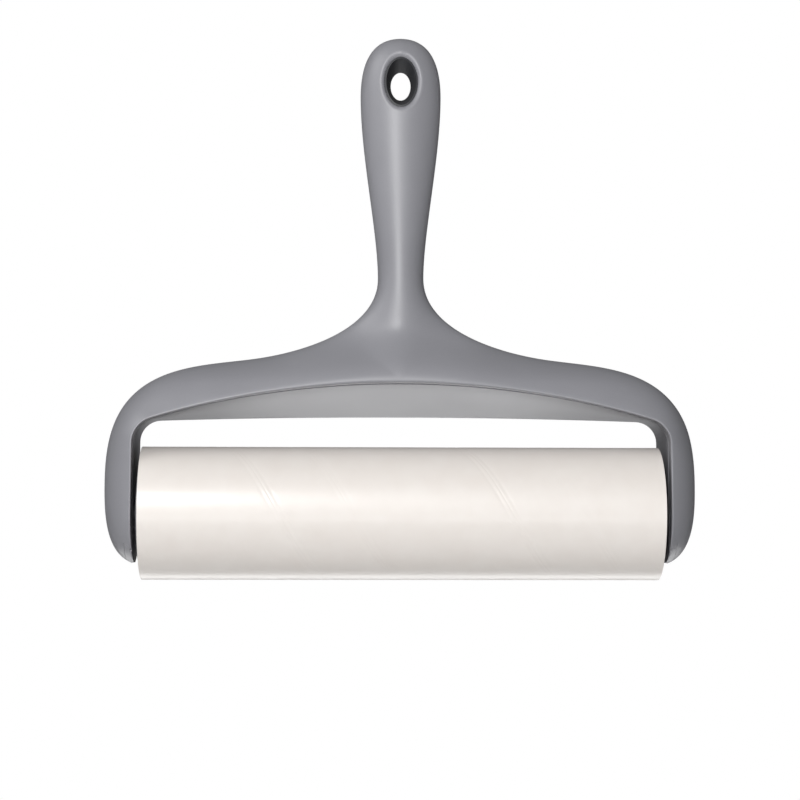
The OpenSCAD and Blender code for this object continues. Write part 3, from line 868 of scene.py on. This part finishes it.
# %% Cream film
def cream_film():
    material, shader = new_material("cream_sticky_film", IOR=1.5, Coat_Weight=0.2, Coat_Roughness=0.2)
    place = node(material, "ShaderNodeTexCoord")
    centre = node(material, "ShaderNodeMapping", {"Vector": (place, "Object")})
    centre.inputs["Location"].default_value = (0, 0, -AXIS_Z)
    clouds = node(material, "ShaderNodeTexNoise", {"Vector": (centre, "Vector")}, Scale=per_mm(9),
                  Detail=4.0)
    tone = node(material, "ShaderNodeMix", {"Factor": (clouds, "Fac")}, data_type="RGBA")
    tone.inputs["A"].default_value = linear("DAD3CD")
    tone.inputs["B"].default_value = linear("E1DCD7")
    gloss = node(material, "ShaderNodeMapRange", {"Value": (clouds, "Fac")})
    gloss.inputs["To Min"].default_value = 0.38
    gloss.inputs["To Max"].default_value = 0.44
    peel = node(material, "ShaderNodeTexNoise", {"Vector": (centre, "Vector")}, Scale=per_mm(3.5),
                Detail=1.0)
    bump = node(material, "ShaderNodeBump", {"Height": (peel, "Fac")}, Strength=0.15, Distance=0.02 * MM)
    feed(material, shader, "Base Color", tone, "Result")
    feed(material, shader, "Roughness", gloss, "Result")
    feed(material, shader, "Normal", bump, "Normal")
    return material


# %% [markdown]
# **Layer edges, cardboard, liner, bushes, hubs and steel.** These smaller finishes share one
# recipe: a noise that shifts the tone between two card colours and the gloss a little, and a
# fine bump of its own scale.


# %% Smaller finishes
def plain_finish(name, dark, light, patch, grain, rough, depth, stretch=(1, 1, 1), **settings):
    """A two-tone finish: patch and grain are sizes in millimetres, depth is the bump's height."""
    material, shader = new_material(name, **settings)
    place = node(material, "ShaderNodeTexCoord")
    size = node(material, "ShaderNodeMapping", {"Vector": (place, "Object")})
    size.inputs["Scale"].default_value = stretch
    patches = node(material, "ShaderNodeTexNoise", {"Vector": (size, "Vector")}, Scale=per_mm(patch),
                   Detail=4.0)
    tone = node(material, "ShaderNodeMix", {"Factor": (patches, "Fac")}, data_type="RGBA")
    tone.inputs["A"].default_value = linear(dark)
    tone.inputs["B"].default_value = linear(light)
    gloss = node(material, "ShaderNodeMapRange", {"Value": (patches, "Fac")})
    gloss.inputs["To Min"].default_value = rough - 0.06
    gloss.inputs["To Max"].default_value = rough + 0.06
    fine = node(material, "ShaderNodeTexNoise", {"Vector": (size, "Vector")}, Scale=per_mm(grain),
                Detail=2.0)
    bump = node(material, "ShaderNodeBump", {"Height": (fine, "Fac")}, Strength=0.4, Distance=depth * MM)
    feed(material, shader, "Base Color", tone, "Result")
    feed(material, shader, "Roughness", gloss, "Result")
    feed(material, shader, "Normal", bump, "Normal")
    return material


abs_plastic = moulded_abs()
film = cream_film()
edges = plain_finish("wound_film_edges", "CFC8C0", "E8E2DB", 3, 0.3, 0.6, 0.05)
board = plain_finish("grey_board_core", "9A7D58", "B5976F", 6, 0.4, 0.85, 0.06, stretch=(0.4, 1, 1))
hub_plastic = plain_finish("charcoal_polypropylene", "4A4B4F", "5C5D61", 12, 0.4, 0.45, 0.02, IOR=1.49)
# Painted shade: the liner's charcoal darkens the inside of the hanging hole where shade falls.
liner_plastic = plain_finish("painted_shade_charcoal", "2E2F32", "38393C", 8, 0.4, 0.55, 0.01, IOR=1.47)
acetal = plain_finish("white_acetal", "D2CFC5", "E0DDD3", 8, 0.4, 0.38, 0.01, IOR=1.48)
zinc = plain_finish("zinc_plated_steel", "A9ABAF", "C6C8CA", 4, 0.25, 0.3, 0.01, Metallic=1.0)
wire = plain_finish("spring_wire", "8F9195", "B2B4B7", 3, 0.2, 0.28, 0.01, Metallic=1.0)
for shell in (front_shell, rear_shell):
    dress(shell, abs_plastic)
dress(hole_liner, liner_plastic)
dress(top_sheet, film)
dress(wound, edges)
for names, material in ((("core_tube",), board),
                        (("left_hub", "right_hub", "spring_plug"), hub_plastic),
                        (("left_bush", "right_bush"), acetal),
                        (("fixed_pin", "sprung_pin", "shell_screws"), zinc),
                        (("hub_spring",), wire)):
    for name in names:
        dress(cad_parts[name], material)
print("materials:", sorted(m.name for m in bpy.data.materials))

# %% [markdown]
# ## The studio
#
# A pale floor lies well below the hanging roller. A tall soft box, in front and above, gives
# the stripe down the handle, and a long low strip brightens the roll's underside. Two wide
# fills, from the left and from the front, lift the greys, and a wide light behind and below
# stands for what a white table throws back at the panel under the bridge. The sky is white
# only to the camera. Everything else sees a dim surround, which keeps the edges from washing
# out.


# %% Floor, lights and camera
def pale_floor():
    bpy.ops.mesh.primitive_plane_add(size=8, location=(0, 0, AXIS_Z - 0.9))
    floor = named("floor")
    bpy.ops.object.transform_apply()
    material, shader = new_material("pale_studio_floor", Roughness=0.8)
    place = node(material, "ShaderNodeTexCoord")
    cloud = node(material, "ShaderNodeTexNoise", {"Vector": (place, "Object")}, Scale=2.0)
    tone = node(material, "ShaderNodeMix", {"Factor": (cloud, "Fac")}, data_type="RGBA")
    tone.inputs["A"].default_value = linear("F2F2F2")
    tone.inputs["B"].default_value = linear("F8F8F8")
    feed(material, shader, "Base Color", tone, "Result")
    dress(floor, material)


def soft_light(name, azimuth, elevation, distance, width, height, watts):
    """A rectangular area light aimed at the object. Azimuth 0 is the front, and minus is left."""
    aim = Vector((0, 0, AXIS_Z + 0.03))
    a, e = math.radians(azimuth), math.radians(elevation)
    away = Vector((math.sin(a) * math.cos(e), -math.cos(a) * math.cos(e), math.sin(e)))
    bpy.ops.object.light_add(type="AREA", location=aim + away * distance)
    light = bpy.context.object
    light.name = name
    light.data.shape = "RECTANGLE"
    light.data.size, light.data.size_y = width, height
    light.data.energy = watts
    light.rotation_euler = away.to_track_quat("Z", "Y").to_euler()
    return light


pale_floor()
soft_light("key_box", -11.5, 20, 1.6, 0.26, 0.62, 14)
soft_light("low_strip", 0, -13.9, 1.5, 1.6, 0.08, 5)
soft_light("left_fill", -62, 38, 1.6, 0.8, 0.8, 7)
soft_light("front_fill", -10, 6, 1.9, 1.6, 0.8, 8)
soft_light("rear_bounce", 176, -42, 1.3, 2.2, 0.7, 17)

# %% The surround
SURROUND = 0.12
world = bpy.data.worlds.new("studio_surround")
bpy.context.scene.world = world
world.use_nodes = True
surround = world.node_tree.nodes["Background"]
surround.inputs["Color"].default_value = linear("FFFFFF")
surround.inputs["Strength"].default_value = SURROUND
paper = node(world, "ShaderNodeBackground", Strength=1.0)
paper.inputs["Color"].default_value = linear("FFFFFF")
rays = node(world, "ShaderNodeLightPath")
choose = node(world, "ShaderNodeMixShader", {0: (rays, "Is Camera Ray"), 1: (surround, "Background"),
                                              2: (paper, "Background")})
world.node_tree.links.new(choose.outputs["Shader"], world.node_tree.nodes["World Output"].inputs["Surface"])
bpy.context.scene.view_settings.view_transform = "Standard"

# %% The camera
CAMERA_PLACE = (-0.0258, -0.850, AXIS_Z - 0.0522)
LENS, SENSOR = 97.0, 36.0
YAW, PITCH = math.radians(1.722), math.radians(6.527)
bpy.ops.object.camera_add(location=CAMERA_PLACE)
camera = bpy.context.object
camera.name = "camera"
camera.data.lens, camera.data.sensor_width = LENS, SENSOR
ahead = Vector((math.sin(YAW) * math.cos(PITCH), math.cos(YAW) * math.cos(PITCH), math.sin(PITCH)))
camera.rotation_euler = ahead.to_track_quat("-Z", "Y").to_euler()
bpy.context.scene.camera = camera
